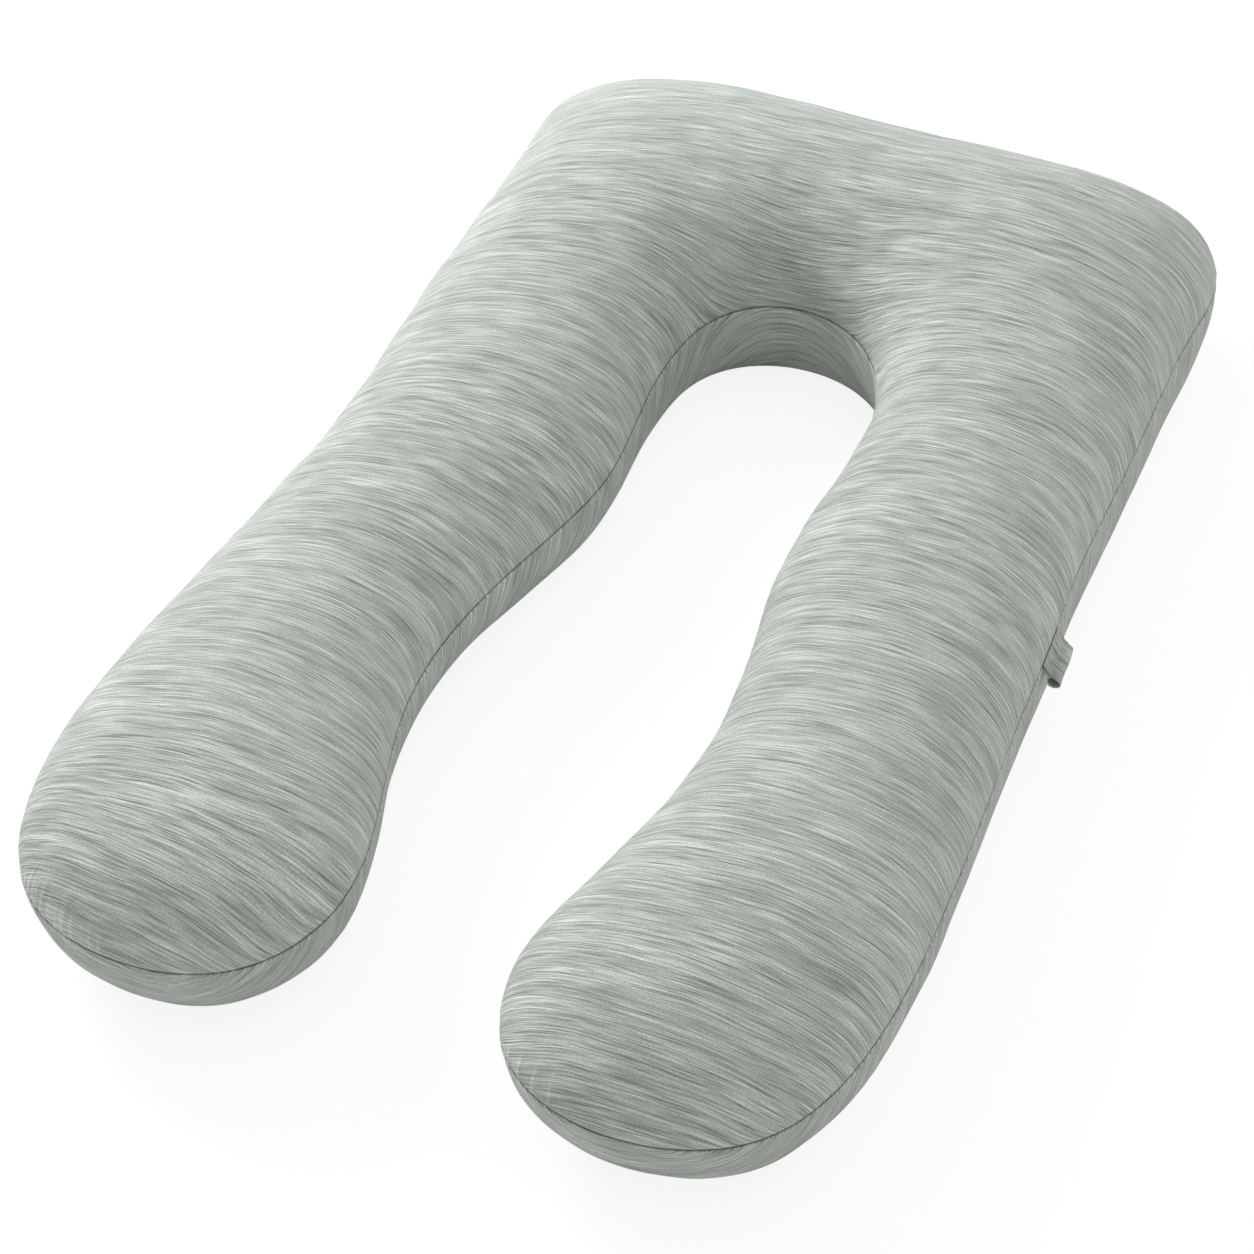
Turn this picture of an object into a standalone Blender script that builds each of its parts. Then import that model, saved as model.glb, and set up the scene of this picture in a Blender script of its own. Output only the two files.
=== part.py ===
"""U-shaped pregnancy pillow: two U-shaped jersey panels closed over their
stuffing by one side seam, with a small folded loop tab caught in the seam.

Metres, +Z up. The legs point to -Y and the head bar lies at +Y. The pillow
lies on its back on the plane z = 0, and the origin is the bottom centre of
its bounding box.
"""

import math

import bmesh
import bpy
import numpy as np

MM = 0.001

# Cross-sections through the U, from the left toe round the head to the right
# toe. x, y: middle of the section in plan, mm. turn: direction from the inner
# to the outer side, degrees from +X. half: half the width between the two
# seams, mm. seam_in, seam_out: height of the side seam above the rest plane
# on the inner and the outer side, mm. belly_in, belly_out: drop of the bottom
# panel under its seam, per half width, on the inner and the outer side.
SECTION_COLUMNS = (
    "name", "x", "y", "turn", "half", "seam_in", "seam_out", "belly_in", "belly_out",
)
SECTIONS = (
    ("left_toe", -234, -691, 0.0, 0, 100, 100, 1.06, 1.06),
    ("left_toe_round", -232, -658, 176.8, 104, 99, 102, 1.01, 1.12),
    ("left_bulb", -235, -563, 179.1, 155, 100, 101, 1.04, 1.17),
    ("left_bulb_top", -254, -437, -179.1, 151, 101, 99, 1.08, 1.25),
    ("left_shin", -267, -310, 179.8, 133, 101, 99, 0.98, 1.33),
    ("left_waist", -261, -184, 179.7, 128, 100, 99, 0.86, 1.40),
    ("left_thigh", -243, -58, 177.7, 134, 98, 98, 0.90, 1.45),
    ("left_hip", -232, 48, 178.9, 143, 97, 98, 1.02, 1.47),
    ("left_flank", -236, 152, 172.2, 145, 98, 99, 1.15, 1.46),
    ("left_arch", -243, 240, 166.6, 147, 99, 99, 1.18, 1.45),
    ("left_arch_top", -245, 346, 150.4, 166, 99, 97, 1.11, 1.41),
    ("left_corner_in", -245, 437, 139.8, 197, 100, 99, 1.01, 1.36),
    ("left_corner", -231, 515, 132.0, 226, 100, 102, 0.94, 1.32),
    ("left_corner_top", -140, 550, 116.9, 196, 101, 104, 0.95, 1.28),
    ("head", 6, 545, 86.2, 158, 101, 97, 1.02, 1.26),
    ("right_corner_top", 143, 530, 58.3, 184, 100, 97, 1.09, 1.29),
    ("right_corner", 219, 497, 48.6, 206, 100, 99, 1.13, 1.36),
    ("right_corner_in", 254, 437, 42.7, 198, 99, 99, 1.13, 1.42),
    ("right_arch_top", 262, 359, 37.8, 172, 98, 102, 1.12, 1.58),
    ("right_arch", 265, 252, 24.8, 143, 97, 102, 1.10, 1.61),
    ("right_flank", 263, 159, 17.1, 136, 97, 101, 1.09, 1.64),
    ("right_hip", 258, 50, 5.9, 133, 97, 100, 1.08, 1.74),
    ("right_thigh", 261, -56, 5.0, 134, 98, 99, 1.05, 1.67),
    ("right_waist", 271, -183, 4.5, 127, 99, 100, 1.03, 1.56),
    ("right_shin", 275, -313, 4.2, 128, 99, 100, 1.05, 1.45),
    ("right_bulb_top", 263, -446, 2.8, 142, 99, 100, 1.07, 1.29),
    ("right_bulb", 243, -579, 2.1, 152, 99, 100, 1.10, 1.16),
    ("right_toe_round", 237, -686, 0.3, 108, 99, 98, 1.07, 1.03),
    ("right_toe", 236, -725, 0.0, 0, 98, 98, 1.01, 1.01),
)

CROWN_RATIO = 0.654      # rise of the top panel over its seam, per half width
BELLY_ROUNDING = 0.35    # softness of the bend from the belly to the flat rest face
STEPS_PER_SECTION = 4    # rings between two sections
STRIPS = 18              # strips across each panel, finer near the seams

TAB_SEAM_Y = (-74 * MM, -16 * MM)  # span of the loop tab along the right outer seam
TAB_GAP = 0.3 * MM       # clear of the pillow's seam
TAB_CLOTH = 1.3 * MM     # one layer of the tab's cloth
TAB_NECK = 2.8 * MM      # the two layers where they are sewn together
TAB_REACH = 12.5 * MM    # seam to the middle of the loop, outward
TAB_DROOP = 10.5 * MM    # the loop hangs this far below the seam
TAB_SLANT = 12 * MM      # the loop hangs this far towards the leg's end
TAB_TAPER = 0.12         # the loop is this share narrower than the sewn end
TAB_LOOP = (7 * MM, 5.2 * MM)  # half width and half height of the loop
TAB_STATIONS = 7
TAB_ROUND = 28

JERSEY = (0.50, 0.56, 0.50, 1.0)


def section_points():
    """Inner and outer end of every section: x, y and seam height in metres,
    and the belly ratio."""
    inner, outer = [], []
    for row in SECTIONS:
        part = dict(zip(SECTION_COLUMNS, row))
        turn = math.radians(part["turn"])
        across = np.array((math.cos(turn), math.sin(turn))) * part["half"]
        middle = np.array((part["x"], part["y"]))
        inner.append((*(middle - across) * MM, part["seam_in"] * MM, part["belly_in"]))
        outer.append((*(middle + across) * MM, part["seam_out"] * MM, part["belly_out"]))
    return np.array(inner), np.array(outer)


class SeamLoop:
    """The closed side seam: a smooth periodic cubic curve through the ends of
    the sections, inner side first, then back along the outer side."""

    def __init__(self, inner, outer):
        self.rows = len(inner)
        knots = np.vstack([inner, outer[-2:0:-1]])
        self.count = len(knots)
        self.knots = knots
        places = knots[:, :3]
        step = np.linalg.norm(np.roll(places, -1, 0) - places, axis=1) ** 0.5
        before = np.roll(step, 1)
        matrix = np.zeros((self.count, self.count))
        for i in range(self.count):
            matrix[i, i - 1] += step[i]
            matrix[i, i] += 2 * (step[i] + before[i])
            matrix[i, (i + 1) % self.count] += before[i]
        chord = (np.roll(knots, -1, 0) - knots) / step[:, None]
        right = 3 * (step[:, None] * np.roll(chord, 1, 0) + before[:, None] * chord)
        self.step = step
        self.slope = np.linalg.solve(matrix, right)

    def at(self, where):
        """Points at the given knot positions: 0 is the left toe, and
        rows - 1 is the right toe."""
        where = np.asarray(where, float) % self.count
        i = np.floor(where).astype(int) % self.count
        f = (where - np.floor(where))[:, None]
        j = (i + 1) % self.count
        h = self.step[i][:, None]
        a, b = self.knots[i], self.knots[j]
        return (
            a * (1 + 2 * f) * (1 - f) ** 2
            + b * f**2 * (3 - 2 * f)
            + self.slope[i] * h * f * (1 - f) ** 2
            - self.slope[j] * h * f**2 * (1 - f)
        )


def panel_grid(loop):
    """Grid of one panel in plan: rings along the U, each from its inner seam
    to its outer seam. The third value is the seam height carried across, and
    the fourth one the belly ratio."""
    rings = (loop.rows - 1) * STEPS_PER_SECTION
    along = np.linspace(0, loop.rows - 1, rings + 1)
    inner = loop.at(along)
    outer = loop.at(loop.count - along)
    across = (1 - np.cos(np.linspace(0, math.pi, STRIPS + 1))) / 2
    grid = inner[:, None] * (1 - across)[None, :, None]
    grid = grid + outer[:, None] * across[None, :, None]
    return grid


def fullness(grid):
    """How full the stuffing stands at each point of the panel: zero on the
    seam, and the half width on the middle line of a long even leg. It is the
    square root of twice a membrane's sag over the panel's outline."""
    rings, columns = grid.shape[:2]
    number = np.arange(rings * columns).reshape(rings, columns)
    number[0] = number[0, 0]
    number[-1] = number[-1, 0]
    flat = grid[..., :2].reshape(-1, 2)
    a, b = number[:-1, :-1].ravel(), number[1:, :-1].ravel()
    c, d = number[1:, 1:].ravel(), number[:-1, 1:].ravel()
    corners = np.vstack([np.c_[a, b, c], np.c_[a, c, d]])
    distinct = (
        (corners[:, 0] != corners[:, 1])
        & (corners[:, 1] != corners[:, 2])
        & (corners[:, 0] != corners[:, 2])
    )
    corners = corners[distinct]
    free = np.zeros(rings * columns, bool)
    free[number[1:-1, 1:-1].ravel()] = True
    place = np.full(rings * columns, -1)
    place[free] = np.arange(free.sum())
    p = flat[corners]
    sides = [p[:, 2] - p[:, 1], p[:, 0] - p[:, 2], p[:, 1] - p[:, 0]]
    area = 0.5 * np.abs(sides[0][:, 0] * sides[1][:, 1] - sides[0][:, 1] * sides[1][:, 0])
    stiff = np.zeros((free.sum(), free.sum()))
    load = np.zeros(free.sum())
    for i in range(3):
        row = place[corners[:, i]]
        inside = row >= 0
        np.add.at(load, row[inside], area[inside] / 3)
        for j in range(3):
            column = place[corners[:, j]]
            both = inside & (column >= 0)
            value = (sides[i] * sides[j]).sum(1) / (4 * area)
            np.add.at(stiff, (row[both], column[both]), value[both])
    sag = np.zeros(rings * columns)
    sag[free] = np.linalg.solve(stiff, load)
    return np.sqrt(np.clip(2 * sag, 0, None)).reshape(rings, columns)


def soft_limit(value, rounding):
    """The value, levelling off at exactly 1 through a bend of this width."""
    mix = np.clip(0.5 + 0.5 * (1 - value) / rounding, 0, 1)
    return (1 - mix) + value * mix - rounding * mix * (1 - mix)


def jersey(name, shade):
    material = bpy.data.materials.new(name)
    material.use_nodes = True
    shader = material.node_tree.nodes["Principled BSDF"]
    shader.inputs["Base Color"].default_value = [v * shade for v in JERSEY[:3]] + [1.0]
    shader.inputs["Roughness"].default_value = 0.9
    shader.inputs["Metallic"].default_value = 0.0
    return material


def add_object(name, build, material):
    mesh = bpy.data.meshes.new(name)
    build.normal_update()
    build.to_mesh(mesh)
    build.free()
    mesh.shade_smooth()
    mesh.materials.append(material)
    thing = bpy.data.objects.new(name, mesh)
    bpy.context.scene.collection.objects.link(thing)
    return thing


def pillow_mesh(grid, crown, belly):
    """Top and bottom panel joined along the one seam."""
    rings, columns = grid.shape[:2]
    build = bmesh.new()
    top, under = {}, {}
    for i in range(rings):
        for j in range(columns):
            toe = i in (0, rings - 1)
            seam = toe or j in (0, columns - 1)
            if toe and j:
                top[i, j] = under[i, j] = top[i, 0]
                continue
            x, y, height = grid[i, j, :3]
            if seam:
                top[i, j] = under[i, j] = build.verts.new((x, y, height))
            else:
                top[i, j] = build.verts.new((x, y, crown[i, j]))
                under[i, j] = build.verts.new((x, y, belly[i, j]))
    for i in range(rings - 1):
        for j in range(columns - 1):
            for side in (top, under):
                ring = [side[i, j], side[i, j + 1], side[i + 1, j + 1], side[i + 1, j]]
                ring = list(dict.fromkeys(ring))
                if side is under:
                    ring.reverse()
                build.faces.new(ring)
    bmesh.ops.recalc_face_normals(build, faces=build.faces)
    return build


def tab_outline():
    """Outline and hollow of the hanging loop, seen along the seam: distance
    out from the seam, and height over it. A short neck with an upright root
    runs from the seam to the loop, and both are given at the same angles."""
    middle = np.array((TAB_REACH, -TAB_DROOP))
    wide, high = TAB_LOOP
    half_neck = TAB_NECK / 2
    root = [np.array((TAB_GAP, up)) for up in (half_neck, 0.0, -1.3 * half_neck)]
    neck = math.atan2(TAB_DROOP, TAB_GAP - TAB_REACH)
    join = math.asin(half_neck / high) + 0.10
    bend = np.linspace(neck + join, neck + 2 * math.pi - join, TAB_ROUND)
    ways = [(point - middle) / np.linalg.norm(point - middle) for point in root]
    ways += [np.array((math.cos(angle), math.sin(angle))) for angle in bend]
    round_outside = [
        middle + way / math.hypot(way[0] / wide, way[1] / high) for way in ways[3:]
    ]
    inside = (wide - TAB_CLOTH, high - TAB_CLOTH)
    hollow = [
        middle + way / math.hypot(way[0] / inside[0], way[1] / inside[1])
        for way in ways
    ]
    return root + round_outside, hollow


def tab_mesh(loop, shift):
    """The loop tab, following the outer seam of the right leg."""
    where = np.linspace(loop.rows, loop.rows + 11, 2000)
    seam = loop.at(where)[:, :3] + shift
    order = np.argsort(seam[:, 1])
    stations = np.linspace(*TAB_SEAM_Y, TAB_STATIONS)
    line = np.stack(
        [np.interp(stations, seam[order, 1], seam[order, k]) for k in range(3)], 1
    )
    outline, hollow = tab_outline()
    middle = sum(TAB_SEAM_Y) / 2

    def place(x, y, z, out, up):
        far = min(1.0, math.hypot(out - TAB_GAP, up) / math.hypot(TAB_REACH, TAB_DROOP))
        drawn_in = middle + (y - middle) * (1 - TAB_TAPER * far)
        return x + out, drawn_in - TAB_SLANT * far, z + up

    build = bmesh.new()
    rings = []
    for point in line:
        rings.append(
            [
                [build.verts.new(place(*point, *spot)) for spot in shape]
                for shape in (outline, hollow)
            ]
        )
    size = len(outline)
    for first, second in zip(rings, rings[1:]):
        for k in range(size):
            n = (k + 1) % size
            build.faces.new([first[0][k], first[0][n], second[0][n], second[0][k]])
            build.faces.new([first[1][n], first[1][k], second[1][k], second[1][n]])
    for ring in (rings[0], rings[-1]):
        for k in range(size):
            n = (k + 1) % size
            build.faces.new([ring[0][k], ring[0][n], ring[1][n], ring[1][k]])
    bmesh.ops.recalc_face_normals(build, faces=build.faces)
    return build


def main():
    for thing in list(bpy.data.objects):
        bpy.data.objects.remove(thing, do_unlink=True)

    loop = SeamLoop(*section_points())
    grid = panel_grid(loop)
    full = fullness(grid)
    seam_height, belly_ratio = grid[..., 2], grid[..., 3]
    crown = seam_height + CROWN_RATIO * full
    belly = seam_height * (1 - soft_limit(belly_ratio * full / seam_height, BELLY_ROUNDING))

    low = grid[..., :2].reshape(-1, 2).min(0)
    high = grid[..., :2].reshape(-1, 2).max(0)
    shift = np.array((*(-(low + high) / 2), 0.0))
    grid = grid[..., :3] + shift

    pillow = add_object(
        "pillow", pillow_mesh(grid, crown, belly), jersey("jersey_body", 1.0)
    )
    tab = add_object("loop_tab", tab_mesh(loop, shift), jersey("jersey_tab", 0.85))

    # The tab can stand out past the pillow's widest point: centre them both.
    reach = max(0.0, max(v.co.x for v in tab.data.vertices) - (high[0] + shift[0]))
    for thing in (pillow, tab):
        for vertex in thing.data.vertices:
            vertex.co.x -= reach / 2
        thing.data.update()


main()
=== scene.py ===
"""Looks of the U-shaped pregnancy pillow: heathered jersey over soft stuffing,
with a sewn side seam, small gathers at the toes and a folded loop tab."""

import math

import bmesh
import bpy
import numpy as np
from mathutils import Matrix, Vector


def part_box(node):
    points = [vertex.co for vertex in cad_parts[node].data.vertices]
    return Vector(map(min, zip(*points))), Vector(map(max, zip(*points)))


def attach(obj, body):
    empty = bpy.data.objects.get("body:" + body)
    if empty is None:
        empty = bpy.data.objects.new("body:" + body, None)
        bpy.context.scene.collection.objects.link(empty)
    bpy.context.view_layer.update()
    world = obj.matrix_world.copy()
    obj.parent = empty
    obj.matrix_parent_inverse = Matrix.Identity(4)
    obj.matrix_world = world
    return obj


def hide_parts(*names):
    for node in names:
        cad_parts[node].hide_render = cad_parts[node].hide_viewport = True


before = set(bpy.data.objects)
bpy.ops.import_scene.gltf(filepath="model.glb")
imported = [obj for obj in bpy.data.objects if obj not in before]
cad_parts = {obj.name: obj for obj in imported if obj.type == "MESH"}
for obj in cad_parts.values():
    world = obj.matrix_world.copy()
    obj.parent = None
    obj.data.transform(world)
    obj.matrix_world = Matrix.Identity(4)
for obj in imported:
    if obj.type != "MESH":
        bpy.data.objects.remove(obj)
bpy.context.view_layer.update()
MM = 0.001

# ---------------------------------------------------------------- the form --
# The same sections as the frame's solid: mm and degrees.
SECTION_COLUMNS = (
    "name", "x", "y", "turn", "half", "seam_in", "seam_out", "belly_in", "belly_out",
)
SECTIONS = (
    ("left_toe", -234, -691, 0.0, 0, 100, 100, 1.06, 1.06),
    ("left_toe_round", -232, -658, 176.8, 104, 99, 102, 1.01, 1.12),
    ("left_bulb", -235, -563, 179.1, 155, 100, 101, 1.04, 1.17),
    ("left_bulb_top", -254, -437, -179.1, 151, 101, 99, 1.08, 1.25),
    ("left_shin", -267, -310, 179.8, 133, 101, 99, 0.98, 1.33),
    ("left_waist", -261, -184, 179.7, 128, 100, 99, 0.86, 1.40),
    ("left_thigh", -243, -58, 177.7, 134, 98, 98, 0.90, 1.45),
    ("left_hip", -232, 48, 178.9, 143, 97, 98, 1.02, 1.47),
    ("left_flank", -236, 152, 172.2, 145, 98, 99, 1.15, 1.46),
    ("left_arch", -243, 240, 166.6, 147, 99, 99, 1.18, 1.45),
    ("left_arch_top", -245, 346, 150.4, 166, 99, 97, 1.11, 1.41),
    ("left_corner_in", -245, 437, 139.8, 197, 100, 99, 1.01, 1.36),
    ("left_corner", -231, 515, 132.0, 226, 100, 102, 0.94, 1.32),
    ("left_corner_top", -140, 550, 116.9, 196, 101, 104, 0.95, 1.28),
    ("head", 6, 545, 86.2, 158, 101, 97, 1.02, 1.26),
    ("right_corner_top", 143, 530, 58.3, 184, 100, 97, 1.09, 1.29),
    ("right_corner", 219, 497, 48.6, 206, 100, 99, 1.13, 1.36),
    ("right_corner_in", 254, 437, 42.7, 198, 99, 99, 1.13, 1.42),
    ("right_arch_top", 262, 359, 37.8, 172, 98, 102, 1.12, 1.58),
    ("right_arch", 265, 252, 24.8, 143, 97, 102, 1.10, 1.61),
    ("right_flank", 263, 159, 17.1, 136, 97, 101, 1.09, 1.64),
    ("right_hip", 258, 50, 5.9, 133, 97, 100, 1.08, 1.74),
    ("right_thigh", 261, -56, 5.0, 134, 98, 99, 1.05, 1.67),
    ("right_waist", 271, -183, 4.5, 127, 99, 100, 1.03, 1.56),
    ("right_shin", 275, -313, 4.2, 128, 99, 100, 1.05, 1.45),
    ("right_bulb_top", 263, -446, 2.8, 142, 99, 100, 1.07, 1.29),
    ("right_bulb", 243, -579, 2.1, 152, 99, 100, 1.10, 1.16),
    ("right_toe_round", 237, -686, 0.3, 108, 99, 98, 1.07, 1.03),
    ("right_toe", 236, -725, 0.0, 0, 98, 98, 1.01, 1.01),
)
CROWN_RATIO = 0.654
BELLY_ROUNDING = 0.35
COARSE_STEPS = 4
COARSE_STRIPS = 18

# Rings between two sections: closer at the toes, where the cloth gathers.
FINE_STEPS = {0: 88, 1: 34}
FINE_STEPS_ELSEWHERE = 7
FINE_STRIPS = 102
SEAM_STRIPS = (0.007, 0.015, 0.023)  # extra strips beside the seam, radians

LEFT_TOE_PULL = 0.75     # turn of the left toe's grain, per metre from its outer side

SEAM_DEPTH = 1.3 * MM    # how far the stitching draws the seam in
SEAM_WIDTH = (2.4 * MM, 1.3 * MM)  # width of that over and under the seam
SEAM_LIP = 0.6 * MM      # the bottom panel's edge stands proud under the seam


def section_points():
    """Inner and outer end of every section: x, y, seam height and belly."""
    inner, outer = [], []
    for row in SECTIONS:
        part = dict(zip(SECTION_COLUMNS, row))
        turn = math.radians(part["turn"])
        across = np.array((math.cos(turn), math.sin(turn))) * part["half"]
        middle = np.array((part["x"], part["y"]))
        inner.append((*(middle - across) * MM, part["seam_in"] * MM, part["belly_in"]))
        outer.append((*(middle + across) * MM, part["seam_out"] * MM, part["belly_out"]))
    return np.array(inner), np.array(outer)


class SeamLoop:
    """The closed side seam: a periodic cubic curve through the sections' ends."""

    def __init__(self, inner, outer):
        self.rows = len(inner)
        knots = np.vstack([inner, outer[-2:0:-1]])
        self.count = len(knots)
        self.knots = knots
        plan = knots[:, :3]
        step = np.linalg.norm(np.roll(plan, -1, 0) - plan, axis=1) ** 0.5
        before = np.roll(step, 1)
        matrix = np.zeros((self.count, self.count))
        for i in range(self.count):
            matrix[i, i - 1] += step[i]
            matrix[i, i] += 2 * (step[i] + before[i])
            matrix[i, (i + 1) % self.count] += before[i]
        chord = (np.roll(knots, -1, 0) - knots) / step[:, None]
        right = 3 * (step[:, None] * np.roll(chord, 1, 0) + before[:, None] * chord)
        self.step = step
        self.slope = np.linalg.solve(matrix, right)

    def at(self, where):
        where = np.asarray(where, float) % self.count
        i = np.floor(where).astype(int) % self.count
        f = (where - np.floor(where))[:, None]
        j = (i + 1) % self.count
        h = self.step[i][:, None]
        a, b = self.knots[i], self.knots[j]
        return (
            a * (1 + 2 * f) * (1 - f) ** 2
            + b * f**2 * (3 - 2 * f)
            + self.slope[i] * h * f * (1 - f) ** 2
            - self.slope[j] * h * f**2 * (1 - f)
        )


def panel_grid(loop, along, angles):
    """Rings at knot positions along, points at angles 0 (inner seam) to pi."""
    inner = loop.at(along)
    outer = loop.at(loop.count - along)
    across = (1 - np.cos(angles)) / 2
    return (
        inner[:, None] * (1 - across)[None, :, None]
        + outer[:, None] * across[None, :, None]
    )


def fullness(grid):
    """Square root of twice a membrane's sag over the panel's outline."""
    rings, columns = grid.shape[:2]
    number = np.arange(rings * columns).reshape(rings, columns)
    number[0] = number[0, 0]
    number[-1] = number[-1, 0]
    flat = grid.reshape(rings * columns, -1)[:, :2]
    a, b = number[:-1, :-1].ravel(), number[1:, :-1].ravel()
    c, d = number[1:, 1:].ravel(), number[:-1, 1:].ravel()
    corners = np.vstack([np.c_[a, b, c], np.c_[a, c, d]])
    distinct = (
        (corners[:, 0] != corners[:, 1])
        & (corners[:, 1] != corners[:, 2])
        & (corners[:, 0] != corners[:, 2])
    )
    corners = corners[distinct]
    free = np.zeros(rings * columns, bool)
    free[number[1:-1, 1:-1].ravel()] = True
    place = np.full(rings * columns, -1)
    place[free] = np.arange(free.sum())
    p = flat[corners]
    sides = [p[:, 2] - p[:, 1], p[:, 0] - p[:, 2], p[:, 1] - p[:, 0]]
    area = 0.5 * np.abs(sides[0][:, 0] * sides[1][:, 1] - sides[0][:, 1] * sides[1][:, 0])
    stiff = np.zeros((free.sum(), free.sum()))
    load = np.zeros(free.sum())
    for i in range(3):
        row = place[corners[:, i]]
        inside = row >= 0
        np.add.at(load, row[inside], area[inside] / 3)
        for j in range(3):
            column = place[corners[:, j]]
            both = inside & (column >= 0)
            value = (sides[i] * sides[j]).sum(1) / (4 * area)
            np.add.at(stiff, (row[both], column[both]), value[both])
    sag = np.zeros(rings * columns)
    sag[free] = np.linalg.solve(stiff, load)
    return np.sqrt(np.clip(2 * sag, 0, None)).reshape(rings, columns)


def soft_limit(value, rounding):
    """The value, levelling off at exactly 1 through a bend of this width."""
    mix = np.clip(0.5 + 0.5 * (1 - value) / rounding, 0, 1)
    return (1 - mix) + value * mix - rounding * mix * (1 - mix)


def upsample(values, where):
    """Natural cubic spline along axis 0 through values on a uniform grid."""
    n = len(values)
    flat = values.reshape(n, -1)
    matrix = np.zeros((n, n))
    matrix[0, 0] = matrix[-1, -1] = 1
    right = np.zeros_like(flat)
    for i in range(1, n - 1):
        matrix[i, i - 1 : i + 2] = 1, 4, 1
        right[i] = 6 * (flat[i + 1] - 2 * flat[i] + flat[i - 1])
    bend = np.linalg.solve(matrix, right)
    i = np.clip(np.floor(where).astype(int), 0, n - 2)
    f = (where - i)[:, None]
    g = 1 - f
    out = g * flat[i] + f * flat[i + 1]
    out = out + ((g**3 - g) * bend[i] + (f**3 - f) * bend[i + 1]) / 6
    return out.reshape((len(where),) + values.shape[1:])


def resample(values, along, across):
    """A grid of values on the coarse rings and strips, carried to finer ones."""
    finer = upsample(values, along)
    return np.swapaxes(upsample(np.swapaxes(finer, 0, 1), across), 0, 1)


def flatten(points):
    """Lays a panel's grid of points flat with as little stretch as it can:
    the cutting pattern of the cloth, with its grain along X."""
    rings, columns = points.shape[:2]
    number = np.arange(rings * columns).reshape(rings, columns)
    number[0] = number[0, 0]
    number[-1] = number[-1, 0]
    space = points.reshape(-1, 3)
    a, b = number[:-1, :-1].ravel(), number[1:, :-1].ravel()
    c, d = number[1:, 1:].ravel(), number[:-1, 1:].ravel()
    corners = np.vstack([np.c_[a, b, c], np.c_[a, c, d], np.c_[a, b, d], np.c_[b, c, d]])
    distinct = (
        (corners[:, 0] != corners[:, 1])
        & (corners[:, 1] != corners[:, 2])
        & (corners[:, 0] != corners[:, 2])
    )
    corners = corners[distinct]
    used, corners = np.unique(corners, return_inverse=True)
    corners = corners.reshape(-1, 3)
    space = space[used]
    count = len(used)
    p = space[corners]
    # Each triangle's own flat copy, its first side along X.
    e1, e2 = p[:, 1] - p[:, 0], p[:, 2] - p[:, 0]
    l1 = np.linalg.norm(e1, axis=1)
    x2 = (e1 * e2).sum(1) / l1
    y2 = np.linalg.norm(np.cross(e1, e2), axis=1) / l1
    own = np.zeros((len(p), 3, 2))
    own[:, 1, 0] = l1
    own[:, 2, 0], own[:, 2, 1] = x2, y2
    area = 0.5 * l1 * y2
    flat = space[:, :2].copy()
    # Triangles keep the turn that they have in plan.
    q = flat[corners]
    g1, g2 = q[:, 1] - q[:, 0], q[:, 2] - q[:, 0]
    turned = g1[:, 0] * g2[:, 1] - g1[:, 1] * g2[:, 0] < 0
    own[turned, :, 1] *= -1
    weight = np.zeros((len(p), 3))
    for k in range(3):
        u = own[:, (k + 1) % 3] - own[:, k]
        v = own[:, (k + 2) % 3] - own[:, k]
        weight[:, k] = (u * v).sum(1) / (2 * area) / 2
    weight = np.clip(weight, 0.02, None)
    matrix = np.zeros((count, count))
    for k in range(3):
        i, j = corners[:, (k + 1) % 3], corners[:, (k + 2) % 3]
        w = weight[:, k]
        np.add.at(matrix, (i, i), w)
        np.add.at(matrix, (j, j), w)
        np.add.at(matrix, (i, j), -w)
        np.add.at(matrix, (j, i), -w)
    matrix += np.eye(count) * 1e-6
    inverse = np.linalg.inv(matrix)
    for _ in range(40):
        q = flat[corners]
        cover = np.zeros((len(p), 2, 2))
        for k in range(3):
            du = q[:, (k + 2) % 3] - q[:, (k + 1) % 3]
            dv = own[:, (k + 2) % 3] - own[:, (k + 1) % 3]
            cover += weight[:, k, None, None] * du[:, :, None] * dv[:, None, :]
        angle = np.arctan2(cover[:, 1, 0] - cover[:, 0, 1], cover[:, 0, 0] + cover[:, 1, 1])
        cos, sin = np.cos(angle), np.sin(angle)
        right = np.zeros((count, 2))
        for k in range(3):
            i, j = corners[:, (k + 1) % 3], corners[:, (k + 2) % 3]
            dv = own[:, (k + 2) % 3] - own[:, (k + 1) % 3]
            moved = np.stack([cos * dv[:, 0] - sin * dv[:, 1], sin * dv[:, 0] + cos * dv[:, 1]], 1)
            moved *= weight[:, k, None]
            np.add.at(right, j, moved)
            np.add.at(right, i, -moved)
        flat = inverse @ right
        flat -= flat.mean(0)
    result = np.zeros((rings * columns, 2))
    result[used] = flat
    return result[number.ravel()].reshape(rings, columns, 2)


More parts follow.
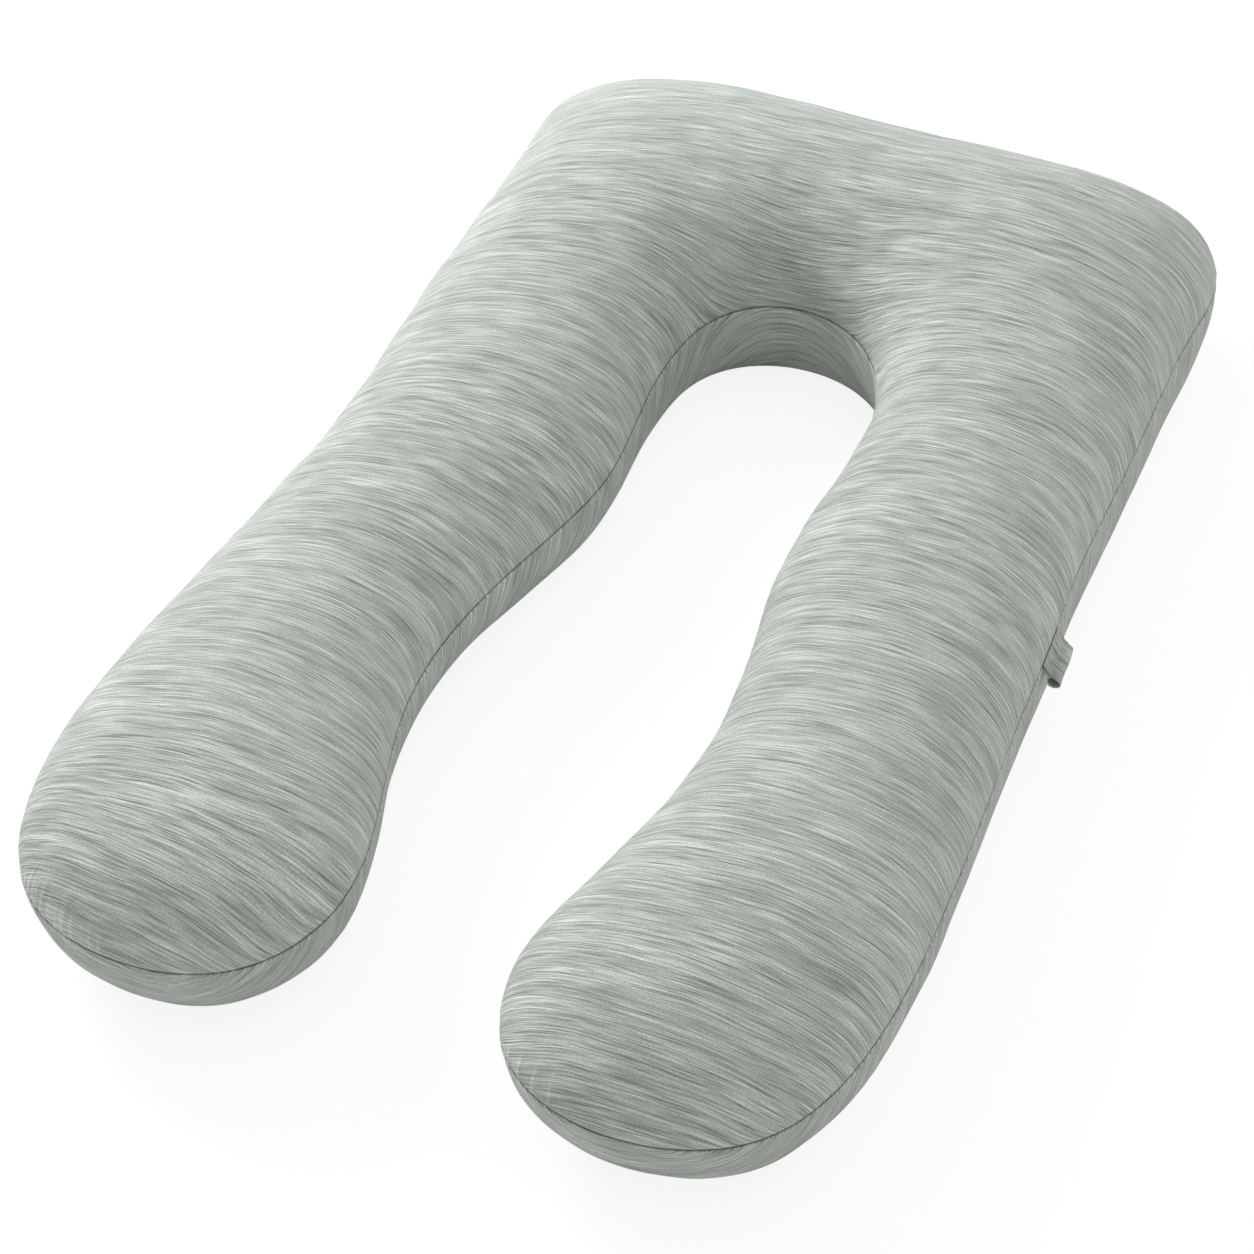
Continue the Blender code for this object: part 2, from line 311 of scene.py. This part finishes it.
# ------------------------------------------------------------- the details --
# Gathers where the seam turns round the toes. run: distance along the seam
# from the toe, mm, positive towards the outer side. reach: length up the top
# panel, mm. high, wide: of the ridge, mm. lean: how far its far end leans.
PUCKER_COLUMNS = ("toe", "side", "run", "reach", "high", "wide", "lean")
PUCKERS = (
    ("left", "top", 134, 32, 0.9, 3.6, 2),
    ("left", "top", 118, 42, 1.3, 4.0, 4),
    ("left", "top", 98, 45, 1.2, 4.0, 6),
    ("left", "top", 82, 52, 1.5, 3.6, 9),
    ("left", "top", 66, 35, 0.8, 4.0, 8),
    ("left", "top", 50, 55, 1.6, 3.6, 9),
    ("left", "top", 27, 38, 0.8, 4.6, 2),
    ("left", "top", 10, 38, 0.9, 4.2, -4),
    ("left", "top", -60, 30, 0.6, 4.9, -10),
    ("left", "top", -84, 32, 0.6, 4.9, -12),
    ("left", "under", 52, 48, 1.3, 4.2, -14),
    ("left", "under", 44, 58, 1.1, 4.6, -22),
    ("left", "under", -62, 50, 1.2, 4.6, 22),
    ("left", "under", -72, 42, 0.9, 4.6, 20),
    ("right", "top", -118, 32, 1.1, 3.6, -4),
    ("right", "top", -100, 38, 1.3, 3.6, -8),
    ("right", "top", -78, 45, 1.1, 4.0, -4),
    ("right", "top", -58, 30, 0.7, 4.2, -2),
    ("right", "top", 64, 28, 0.6, 4.6, 8),
    ("right", "under", -64, 50, 1.2, 4.2, 18),
    ("right", "under", -42, 55, 1.1, 4.6, 22),
    ("right", "under", 70, 45, 0.9, 4.6, -18),
)


# Thread-fine gathers. toe and run as above; span: half the length of seam that
# they fill, mm. side: 1 top, -1 bottom panel. count: per metre. wide: mm. light: strength of the painted
# highlight on each ridge.
GATHER_COLUMNS = ("toe", "run", "span", "side", "count", "wide", "lean", "high", "light")
GATHERS = (
    ("left", -76, 92, 1, 56.0, 1.8, 0.12, 2.6, 0.52),
    ("left", -55, 40, -1, 50.0, 1.7, -0.5, 1.2, 0.16),
    ("left", 62, 30, -1, 60.0, 1.7, 0.5, 1.2, 0.16),
    ("right", -88, 44, 1, 58.0, 1.7, 0.15, 2.0, 0.36),
    ("right", -52, 26, -1, 55.0, 1.7, -0.5, 1.2, 0.16),
)


def outward_normals(points, faces):
    """Unit normals at the vertices, weighted by area."""
    p = points[faces]
    face = np.cross(p[:, 2] - p[:, 0], p[:, 3] - p[:, 1])
    normal = np.zeros_like(points)
    for k in range(4):
        np.add.at(normal, faces[:, k], face)
    return normal / np.maximum(np.linalg.norm(normal, axis=1), 1e-12)[:, None]


def waves(points, seed, shortest, longest, count):
    """Soft unevenness: a seeded sum of plane waves of the given lengths."""
    chance = np.random.default_rng(seed)
    total = np.zeros(len(points))
    for _ in range(count):
        way = chance.normal(size=3)
        way /= np.linalg.norm(way)
        length = math.exp(chance.uniform(math.log(shortest), math.log(longest)))
        total += np.sin(points @ way * (2 * math.pi / length) + chance.uniform(0, 2 * math.pi))
    return total / math.sqrt(count)


def smooth_step(value):
    value = np.clip(value, 0, 1)
    return value * value * (3 - 2 * value)


def fine_places():
    """Ring and strip places of the fine mesh, closer beside the seam."""
    last = len(SECTIONS) - 1
    rings = []
    for i in range(last):
        steps = FINE_STEPS.get(min(i, last - 1 - i), FINE_STEPS_ELSEWHERE)
        rings.append(i + np.arange(steps) / steps)
    rings = np.concatenate(rings)
    near = 0.6 * np.array(SEAM_STRIPS)
    rings = np.unique(np.concatenate([rings, near, last - near, [last]]).round(6))
    angles = np.linspace(0, math.pi, FINE_STRIPS + 1)
    side = np.array(SEAM_STRIPS)
    angles = np.unique(np.concatenate([angles, side, math.pi - side]).round(6))
    angles[-1] = math.pi
    return rings, angles


def build_pillow():
    loop = SeamLoop(*section_points())
    last = loop.rows - 1
    coarse_along = np.linspace(0, last, last * COARSE_STEPS + 1)
    coarse_angles = np.linspace(0, math.pi, COARSE_STRIPS + 1)
    coarse = panel_grid(loop, coarse_along, coarse_angles)
    coarse_full = fullness(coarse)
    along, angles = fine_places()
    ring_place = along * COARSE_STEPS
    strip_place = angles / math.pi * COARSE_STRIPS

    def heights(grid, full):
        seam, ratio = grid[..., 2], grid[..., 3]
        top = seam + CROWN_RATIO * full
        under = seam * (1 - soft_limit(ratio * full / seam, BELLY_ROUNDING))
        return top, under

    # Cutting pattern of each panel, carried over to the fine mesh.
    cloths = []
    for height in heights(coarse, coarse_full):
        space = np.dstack([coarse[..., :2], height])
        cloths.append(resample(flatten(space), ring_place, strip_place))

    grid = panel_grid(loop, along, angles)
    # The left toe's cloth is pulled askew: its grain turns towards the toe.
    x, y = grid[..., 0], grid[..., 1]
    pull = smooth_step((-y - 510 * MM) / (180 * MM)) * (x < 0)
    cloths[0][..., 1] += pull * LEFT_TOE_PULL * np.clip(x + 380 * MM, 0, None) ** 2
    full = np.clip(resample(coarse_full, ring_place, strip_place), 0, None)
    full[0] = full[-1] = 0
    full[:, 0] = full[:, -1] = 0
    top, under = heights(grid, full)
    low = coarse[..., :2].reshape(-1, 2).min(0)
    high = coarse[..., :2].reshape(-1, 2).max(0)
    # Same place in plan as the frame's solid.
    a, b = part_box("pillow")
    move = np.array(((a.x + b.x) / 2, (a.y + b.y) / 2)) - (low + high) / 2

    rings, columns = grid.shape[:2]
    count = rings * columns
    number = np.arange(count).reshape(rings, columns)
    number[0], number[-1] = number[0, 0], number[-1, 0]
    edge = np.zeros((rings, columns), bool)
    edge[0] = edge[-1] = edge[:, 0] = edge[:, -1] = True
    lower = np.where(edge, number, number + count)
    place = np.concatenate(
        [np.dstack([grid[..., :2], top]).reshape(-1, 3), np.dstack([grid[..., :2], under]).reshape(-1, 3)]
    )
    fulls = np.concatenate([full.ravel(), full.ravel()])
    is_under = np.arange(2 * count) >= count

    def cells(index):
        return np.stack(
            [index[:-1, :-1], index[:-1, 1:], index[1:, 1:], index[1:, :-1]], -1
        ).reshape(-1, 4)

    top_faces = cells(number)[:, ::-1]
    under_faces = cells(lower)
    faces = np.concatenate([top_faces, under_faces])
    normal = outward_normals(place, faces)
    if (normal[number[rings // 2, columns // 2]] * np.array((0, 0, 1))).sum() < 0:
        faces = faces[:, ::-1]
        normal = -normal

    # Where each point lies against the seam: the run of the nearest stitch
    # and the way from the seam over the cloth.
    knots = np.linspace(0, loop.count, 12001)
    seam = loop.at(knots)[:, :3]
    run = np.r_[0, np.cumsum(np.linalg.norm(np.diff(seam, axis=0), axis=1))]
    total = run[-1]
    ratio = np.where(is_under, np.tile(grid[..., 3].ravel(), 2), CROWN_RATIO)
    away = fulls * ratio
    near = np.where(away < 75 * MM)[0]
    nearest = np.zeros(2 * count)
    for start in range(0, len(near), 4000):
        pick = near[start : start + 4000]
        gap = (place[pick, None, 0] - seam[None, ::6, 0]) ** 2
        gap += (place[pick, None, 1] - seam[None, ::6, 1]) ** 2
        best = gap.argmin(1) * 6
        window = np.clip(best[:, None] + np.arange(-6, 7)[None], 0, len(seam) - 1)
        gap = (place[pick, None, 0] - seam[window, 0]) ** 2
        gap += (place[pick, None, 1] - seam[window, 1]) ** 2
        k = gap.argmin(1)
        nearest[pick] = run[window[np.arange(len(pick)), k]]

    toe_run = {"left": 0.0, "right": run[np.argmin(np.abs(knots - last))]}
    offset = np.zeros(2 * count)

    # The stitching draws the seam in; the stuffing swells a little beside it.
    width = np.where(is_under, SEAM_WIDTH[1], SEAM_WIDTH[0])
    offset -= SEAM_DEPTH * np.exp(-((away / width) ** 2))
    offset += is_under * SEAM_LIP * np.exp(-(((away - 4 * MM) / (2.4 * MM)) ** 2))
    offset += ~is_under * 0.4 * MM * np.exp(-(((away - 10 * MM) / (6 * MM)) ** 2))

    # Gathers at the toes.
    for row in PUCKERS:
        pucker = dict(zip(PUCKER_COLUMNS, row))
        # Along the closed loop the outer side of the left toe lies before it.
        sign = -1 if pucker["toe"] == "left" else 1
        where = toe_run[pucker["toe"]] + sign * pucker["run"] * MM
        beside = (nearest - where + total / 2) % total - total / 2
        reach = pucker["reach"] * MM
        up = away / reach
        beside = beside - sign * pucker["lean"] * MM * up
        wide = pucker["wide"] * MM * (0.7 + 0.6 * np.clip(up, 0, 1))
        rise = smooth_step(away / (2.5 * MM)) * (1 - smooth_step(up)) * (up < 1)
        shape = np.exp(-((beside / wide) ** 2)) - 0.35 * np.exp(-((beside / (2.4 * wide)) ** 2))
        side = is_under if pucker["side"] == "under" else ~is_under
        touched = side & (away < 75 * MM)
        offset += np.where(touched, pucker["high"] * MM * rise * shape, 0)

    # The cloth's slight slackness between the seam's stitches.
    slack = waves(np.c_[nearest * 1.0, away, is_under * 0.3], 5, 22 * MM, 60 * MM, 9)
    offset += 0.28 * MM * slack * np.exp(-((away - 10 * MM) / (12 * MM)) ** 2)
    # Uneven stuffing, fading where the pillow lies on its rest face.
    lift = smooth_step(place[:, 2] / (45 * MM)) * smooth_step(away / (20 * MM))
    offset += 0.9 * MM * lift * waves(place, 11, 90 * MM, 260 * MM, 14)
    offset += 0.22 * MM * lift * waves(place, 12, 28 * MM, 60 * MM, 14)

    bent = place + normal * offset[:, None]
    bent[:, 2] = np.clip(bent[:, 2], 0, None)
    bent[:, :2] += move

    used = np.unique(faces)
    renumber = np.zeros(2 * count, int)
    renumber[used] = np.arange(len(used))
    corner_lists, corner_source = [], []
    for k, quad in enumerate(faces):
        ring = list(dict.fromkeys(quad.tolist()))
        corner_lists.append(ring)
    mesh = bpy.data.meshes.new("pillow_cloth")
    mesh.from_pydata(
        bent[used].tolist(), [], [[int(renumber[v]) for v in ring] for ring in corner_lists]
    )

    # Per corner: the cloth's own coordinates, and the place against the seam.
    cloth_top = cloths[0].reshape(-1, 2)
    cloth_under = cloths[1].reshape(-1, 2) + np.array((0.0, 4.0))
    cloth = mesh.uv_layers.new(name="cloth")
    stitch = mesh.uv_layers.new(name="stitch")
    cloth_values, stitch_values = [], []
    half = len(top_faces)
    for k, ring in enumerate(corner_lists):
        lies_under = k >= half
        table = cloth_under if lies_under else cloth_top
        runs = [nearest[v] for v in ring]
        wraps = max(runs) - min(runs) > total / 2
        for v in ring:
            cloth_values.extend(table[v % count])
            r = nearest[v]
            if wraps and r < total / 2:
                r += total
            stitch_values.extend((r, -away[v] if lies_under else away[v]))
    cloth.data.foreach_set("uv", cloth_values)
    stitch.data.foreach_set("uv", stitch_values)
    mesh.shade_smooth()
    mesh.update()
    thing = bpy.data.objects.new("pillow_cloth", mesh)
    bpy.context.scene.collection.objects.link(thing)
    return thing, loop, move, toe_run, total


# -------------------------------------------------------------- the loop tab
TAB_SEAM_Y = (-74 * MM, -16 * MM)
TAB_GAP = 0.3 * MM
TAB_CLOTH = 1.3 * MM
TAB_NECK = 2.8 * MM
TAB_REACH = 12.5 * MM
TAB_DROOP = 10.5 * MM
TAB_SLANT = 12 * MM
TAB_TAPER = 0.12
TAB_LOOP = (7 * MM, 5.2 * MM)
TAB_STATIONS = 31
TAB_ROUND = 72


def tab_outline():
    """Outline and hollow of the hanging loop, seen along the seam."""
    middle = np.array((TAB_REACH, -TAB_DROOP))
    wide, high = TAB_LOOP
    half_neck = TAB_NECK / 2
    root = [np.array((TAB_GAP, up)) for up in (half_neck, 0.0, -1.3 * half_neck)]
    neck = math.atan2(TAB_DROOP, TAB_GAP - TAB_REACH)
    join = math.asin(half_neck / high) + 0.10
    bend = np.linspace(neck + join, neck + 2 * math.pi - join, TAB_ROUND)
    ways = [(point - middle) / np.linalg.norm(point - middle) for point in root]
    ways += [np.array((math.cos(angle), math.sin(angle))) for angle in bend]
    outside = root + [
        middle + way / math.hypot(way[0] / wide, way[1] / high) for way in ways[3:]
    ]
    inside = (wide - TAB_CLOTH, high - TAB_CLOTH)
    hollow = [
        middle + way / math.hypot(way[0] / inside[0], way[1] / inside[1]) for way in ways
    ]
    return np.array(outside), np.array(hollow)


def build_tab(loop, move):
    where = np.linspace(loop.rows, loop.rows + 11, 3000)
    seam = loop.at(where)[:, :3]
    order = np.argsort(seam[:, 1])
    stations = np.linspace(*TAB_SEAM_Y, TAB_STATIONS)
    line = np.stack(
        [np.interp(stations - move[1], seam[order, 1], seam[order, k]) for k in range(3)], 1
    )
    line[:, :2] += move
    outline, hollow = tab_outline()
    size = len(outline)
    middle_y = line[:, 1].mean()
    span = line[-1, 1] - line[0, 1]
    points, cloth = [], []
    lengths = []
    for shape in (outline, hollow):
        step = np.linalg.norm(np.roll(shape, -1, 0) - shape, axis=1)
        lengths.append(np.r_[0, np.cumsum(step[:-1])])
    for k, (x, y, z) in enumerate(line):
        t = (y - middle_y) / (span / 2)
        for s, shape in enumerate((outline, hollow)):
            for j, (out, up) in enumerate(shape):
                far = math.hypot(out - TAB_GAP, up) / math.hypot(TAB_REACH, TAB_DROOP)
                full = min(1.0, far)
                sag = 0.5 * MM * far * math.sin(2.1 * t + 0.4) - 0.35 * MM * far * t * t
                flare = 0.35 * MM * far * math.cos(3.3 * t + 1.1 * up / TAB_DROOP)
                points.append(
                    (
                        x + out + flare * min(1.0, far),
                        middle_y + (y - middle_y) * (1 - TAB_TAPER * full) - TAB_SLANT * full,
                        z + up + sag,
                    )
                )
                cloth.append((lengths[s][j], y))
    faces = []
    ring = 2 * size
    for k in range(TAB_STATIONS - 1):
        for j in range(size):
            n = (j + 1) % size
            a, b = k * ring, (k + 1) * ring
            faces.append((a + j, a + n, b + n, b + j))
            faces.append((a + size + n, a + size + j, b + size + j, b + size + n))
    for a, flip in ((0, False), ((TAB_STATIONS - 1) * ring, True)):
        for j in range(size):
            n = (j + 1) % size
            face = (a + j, a + n, a + size + n, a + size + j)
            faces.append(face[::-1] if not flip else face)
    mesh = bpy.data.meshes.new("tab_cloth")
    mesh.from_pydata(points, [], faces)
    build = bmesh.new()
    build.from_mesh(mesh)
    bmesh.ops.recalc_face_normals(build, faces=build.faces)
    build.to_mesh(mesh)
    build.free()
    layer = mesh.uv_layers.new(name="cloth")
    for corner in mesh.loops:
        u, v = cloth[corner.vertex_index]
        layer.data[corner.index].uv = (u, v + 9.0)
    mesh.shade_smooth()
    mesh.set_sharp_from_angle(angle=math.radians(60))
    thing = bpy.data.objects.new("tab_cloth", mesh)
    bpy.context.scene.collection.objects.link(thing)
    return thing


# ---------------------------------------------------------------- the cloth --
# The heathered knit. across: threads per metre over the streaks. down: per
# metre along them. weight: share in the shade of the cloth.
STREAK_COLUMNS = ("name", "along", "across", "detail", "weight")
STREAKS = (
    ("broad", 6.0, 80.0, 1.0, 0.12),
    ("streak", 17.0, 880.0, 1.0, 0.43),
    ("fine", 34.0, 1700.0, 1.0, 0.45),
)
SHADES = (  # place in the streaks' mix, colour (linear)
    (0.36, (0.225, 0.263, 0.232)),
    (0.46, (0.440, 0.484, 0.444)),
    (0.53, (0.565, 0.598, 0.556)),
    (0.63, (0.835, 0.845, 0.813)),
)


def jersey(name, shade, stitched):
    material = bpy.data.materials.new(name)
    material.use_nodes = True
    nodes, links = material.node_tree.nodes, material.node_tree.links
    shader = nodes["Principled BSDF"]
    shader.inputs["Roughness"].default_value = 0.88
    shader.inputs["Sheen Weight"].default_value = 0.12
    shader.inputs["Sheen Roughness"].default_value = 0.5
    shader.inputs["Specular IOR Level"].default_value = 0.25

    def math_node(kind, first, second=None, third=None, clamp=False):
        node = nodes.new("ShaderNodeMath")
        node.operation = kind
        node.use_clamp = clamp
        for socket, value in zip(node.inputs, (first, second, third)):
            if value is None:
                continue
            if isinstance(value, (int, float)):
                socket.default_value = value
            else:
                links.new(value, socket)
        return node.outputs[0]

    def noise(vector, scale, detail, rough=0.5):
        node = nodes.new("ShaderNodeTexNoise")
        node.noise_dimensions = "3D"
        links.new(vector, node.inputs["Vector"])
        node.inputs["Scale"].default_value = scale
        node.inputs["Detail"].default_value = detail
        node.inputs["Roughness"].default_value = rough
        return node.outputs["Fac"]

    def combine(x, y, z=0.0):
        node = nodes.new("ShaderNodeCombineXYZ")
        for socket, value in zip(node.inputs, (x, y, z)):
            if isinstance(value, (int, float)):
                socket.default_value = value
            else:
                links.new(value, socket)
        return node.outputs[0]

    uv = nodes.new("ShaderNodeUVMap")
    uv.uv_map = "cloth"
    split = nodes.new("ShaderNodeSeparateXYZ")
    links.new(uv.outputs["UV"], split.inputs[0])
    u, v = split.outputs[0], split.outputs[1]

    # The threads wander a little across the streaks.
    slow = noise(combine(math_node("MULTIPLY", u, 7.0), math_node("MULTIPLY", v, 11.0), 3.1), 1.0, 1.0)
    quick = noise(combine(math_node("MULTIPLY", u, 26.0), math_node("MULTIPLY", v, 52.0), 7.7), 1.0, 1.0)
    wander = math_node("MULTIPLY_ADD", math_node("SUBTRACT", slow, 0.5), 0.016, v)
    wander = math_node("MULTIPLY_ADD", math_node("SUBTRACT", quick, 0.5), 0.0024, wander)

    mix = None
    layers = {}
    for k, row in enumerate(STREAKS):
        layer = dict(zip(STREAK_COLUMNS, row))
        place = combine(
            math_node("MULTIPLY", u, layer["along"]),
            math_node("MULTIPLY", wander, layer["across"]),
            2.3 * k,
        )
        value = noise(place, 1.0, layer["detail"])
        layers[layer["name"]] = value
        share = math_node("MULTIPLY", value, layer["weight"])
        mix = share if mix is None else math_node("ADD", mix, share)

    ramp = nodes.new("ShaderNodeValToRGB")
    stops = ramp.color_ramp.elements
    while len(stops) < len(SHADES):
        stops.new(0.5)
    for stop, (where, colour) in zip(stops, SHADES):
        stop.position = where
        stop.color = (*colour, 1.0)
    links.new(mix, ramp.inputs[0])

    # Faint cloudiness, as uneven dye.
    cloud = noise(combine(math_node("MULTIPLY", u, 8.0), math_node("MULTIPLY", v, 26.0), 1.9), 1.0, 2.0)
    dye_and_painted_light = math_node("MULTIPLY_ADD", math_node("SUBTRACT", cloud, 0.5), 0.26, shade)

    # The yarn's own grain.
    grain = noise(combine(u, v, 5.5), 560.0, 2.0, 0.6)
    dye_and_painted_light = math_node("MULTIPLY", dye_and_painted_light, math_node("MULTIPLY_ADD", grain, 0.80, 0.61))

    relief = math_node("MULTIPLY_ADD", grain, 0.25, layers["streak"])
    relief = math_node("MULTIPLY_ADD", layers["fine"], 0.6, relief)
    # Knit loops, only seen from near.
    wales = math_node("SINE", math_node("MULTIPLY", u, 2 * math.pi / 0.0014))
    courses = math_node("SINE", math_node("MULTIPLY", wander, 2 * math.pi / 0.0017))
    relief = math_node("MULTIPLY_ADD", math_node("MULTIPLY", wales, courses), 0.035, relief)

    if stitched:
        seam_uv = nodes.new("ShaderNodeUVMap")
        seam_uv.uv_map = "stitch"
        seam = nodes.new("ShaderNodeSeparateXYZ")
        links.new(seam_uv.outputs["UV"], seam.inputs[0])
        run, side = seam.outputs[0], seam.outputs[1]
        away = math_node("ABSOLUTE", side)
        # The dark line of the closed seam, broken where threads come and go: partly the stitch gaps, partly
        # painted shadow in the seam's groove.
        ragged = noise(combine(math_node("MULTIPLY", run, 160.0), 0.0, 4.4), 1.0, 2.0)
        stitch = math_node("SINE", math_node("MULTIPLY", run, 2 * math.pi / 0.0032))
        width = math_node("MULTIPLY_ADD", ragged, 0.0008, 0.0004)
        width = math_node("MULTIPLY_ADD", stitch, 0.00015, width)
        line = math_node("SUBTRACT", width, away)
        line = math_node("MULTIPLY_ADD", line, 1 / 0.0007, 0.5, clamp=True)
        seam_shadow_and_gaps = math_node("MULTIPLY_ADD", line, -0.70, 1.0)
        dye_and_painted_light = math_node("MULTIPLY", dye_and_painted_light, seam_shadow_and_gaps)
        # Fine gathers, one thread wide, rising from the seam at the toes: each ridge is a bump, and also a
        # painted highlight in the colour.
        for toe_run, toe_mask in zip(TOE_RUNS, GATHERS):
            row = dict(zip(GATHER_COLUMNS, toe_mask))
            middle = toe_run + row["run"] * MM
            span = math_node("ABSOLUTE", math_node("SUBTRACT", run, middle))
            span = math_node("SUBTRACT", row["span"] * MM, span)
            span = math_node("MULTIPLY", span, 1 / (12 * MM), clamp=True)
            over = math_node("MULTIPLY", side, row["side"])
            slanted = math_node("MULTIPLY_ADD", over, row["lean"], run)
            cell = nodes.new("ShaderNodeTexVoronoi")
            cell.voronoi_dimensions = "1D"
            cell.inputs["Scale"].default_value = row["count"]
            cell.inputs["Randomness"].default_value = 0.75
            links.new(slanted, cell.inputs["W"])
            apart = math_node("DIVIDE", cell.outputs["Distance"], row["count"] * row["wide"] * MM)
            ridge = math_node("POWER", 2.718, math_node("MULTIPLY", math_node("MULTIPLY", apart, apart), -1.0))
            chance = nodes.new("ShaderNodeSeparateColor")
            links.new(cell.outputs["Color"], chance.inputs[0])
            reach = math_node("MULTIPLY_ADD", chance.outputs[0], 26 * MM, 16 * MM)
            fade = math_node("SUBTRACT", 1.0, math_node("DIVIDE", over, reach), clamp=True)
            start = math_node("MULTIPLY", over, 1 / (1.5 * MM), clamp=True)
            size = math_node("MULTIPLY_ADD", chance.outputs[1], 0.8, 0.35)
            ridge = math_node("MULTIPLY", math_node("MULTIPLY", ridge, fade), math_node("MULTIPLY", start, size))
            ridge = math_node("MULTIPLY", ridge, span)
            relief = math_node("MULTIPLY_ADD", ridge, row["high"], relief)
            # Painted highlight along the ridge, standing in for light catching its lit side.
            dye_and_painted_light = math_node("MULTIPLY_ADD", ridge, row["light"], dye_and_painted_light)

    tint = nodes.new("ShaderNodeVectorMath")
    tint.operation = "SCALE"
    links.new(ramp.outputs["Color"], tint.inputs[0])
    links.new(dye_and_painted_light, tint.inputs["Scale"])
    links.new(tint.outputs[0], shader.inputs["Base Color"])

    bump = nodes.new("ShaderNodeBump")
    bump.inputs["Strength"].default_value = 0.8
    bump.inputs["Distance"].default_value = 0.0012
    links.new(relief, bump.inputs["Height"])
    links.new(bump.outputs["Normal"], shader.inputs["Normal"])
    return material


pillow, seam_loop, plan_move, toe_places, seam_length = build_pillow()
# The run has its jump at the left toe, so gathers before it lie at its far end.
TOE_RUNS = [
    toe_places[row[0]] + (seam_length if row[0] == "left" and row[1] < 0 else 0.0)
    for row in GATHERS
]
pillow.data.materials.append(jersey("heathered_jersey", 1.0, True))
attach(pillow, "root")
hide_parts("pillow")

tab = build_tab(seam_loop, plan_move)
# The tab's copy of the cloth is painted 8% darker than the pillow's: painted shade.
tab.data.materials.append(jersey("heathered_jersey_tab_painted_shade", 0.92, False))
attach(tab, "root")
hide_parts("loop_tab")

# ------------------------------------------------------- floor, light, view --
def plain_plane(name, height, colour, glow):
    mesh = bpy.data.meshes.new(name)
    mesh.from_pydata(
        [(-9, -9, height), (9, -9, height), (9, 9, height), (-9, 9, height)], [], [(0, 1, 2, 3)]
    )
    material = bpy.data.materials.new(name)
    material.use_nodes = True
    shader = material.node_tree.nodes["Principled BSDF"]
    shader.inputs["Base Color"].default_value = (colour, colour, colour, 1.0)
    shader.inputs["Roughness"].default_value = 0.9
    shader.inputs["Specular IOR Level"].default_value = 0.1
    shader.inputs["Emission Color"].default_value = (1.0, 1.0, 1.0, 1.0)
    shader.inputs["Emission Strength"].default_value = glow
    mesh.materials.append(material)
    thing = bpy.data.objects.new(name, mesh)
    bpy.context.scene.collection.objects.link(thing)
    return thing


# The floor that is seen is white and shows only faint shadows. The light that
# comes back up from the floor belongs to a second plane just under it.
floor = plain_plane("floor", -0.0006, 0.20, 0.86)
floor.visible_diffuse = False
floor.visible_glossy = False
floor.visible_shadow = False
bounce = plain_plane("floor_light", -0.0012, 0.95, 0.0)
bounce.visible_camera = False

world = bpy.data.worlds.new("studio")
world.use_nodes = True
sky = world.node_tree.nodes["Background"]
sky.inputs["Color"].default_value = (1.0, 1.0, 1.0, 1.0)
toward = world.node_tree.nodes.new("ShaderNodeTexCoord")
split = world.node_tree.nodes.new("ShaderNodeSeparateXYZ")
world.node_tree.links.new(toward.outputs["Generated"], split.inputs[0])
grade = world.node_tree.nodes.new("ShaderNodeMath")
grade.operation = "MULTIPLY_ADD"
grade.inputs[1].default_value = 0.30
grade.inputs[2].default_value = 0.66
world.node_tree.links.new(split.outputs["Y"], grade.inputs[0])
world.node_tree.links.new(grade.outputs[0], sky.inputs["Strength"])
bpy.context.scene.world = world


def soft_light(name, way, away, size, power):
    lamp = bpy.data.lights.new(name, "AREA")
    lamp.shape = "DISK"
    lamp.size = size
    lamp.energy = power
    thing = bpy.data.objects.new(name, lamp)
    way = Vector(way).normalized()
    thing.location = Vector((0, 0, 0.1)) + way * away
    thing.rotation_euler = way.to_track_quat("Z", "Y").to_euler()
    bpy.context.scene.collection.objects.link(thing)
    return thing


soft_light("key", (-0.78, 0.40, 0.48), 4.2, 2.4, 126.0)

# The photo's camera, found with the sections' own frame.
CAMERA_PLACE = (0.89567, -2.14930, 1.96673)
CAMERA_RIGHT = (0.92762671, 0.37138978, -0.03972806)
CAMERA_UP = (-0.21363082, 0.61480176, 0.75919739)
CAMERA_LENS = 88.188
camera = bpy.data.cameras.new("camera")
camera.sensor_width = 36.0
camera.sensor_fit = "HORIZONTAL"
camera.lens = CAMERA_LENS
camera.clip_end = 60.0
eye = bpy.data.objects.new("camera", camera)
right, up = Vector(CAMERA_RIGHT).normalized(), Vector(CAMERA_UP)
back = right.cross(up).normalized()
up = back.cross(right)
turn = Matrix((right, up, back)).transposed()
eye.matrix_world = Matrix.Translation(
    Vector(CAMERA_PLACE) + Vector((plan_move[0], plan_move[1], 0))
) @ turn.to_4x4()
bpy.context.scene.collection.objects.link(eye)
bpy.context.scene.camera = eye
bpy.context.scene.view_settings.view_transform = "Standard"
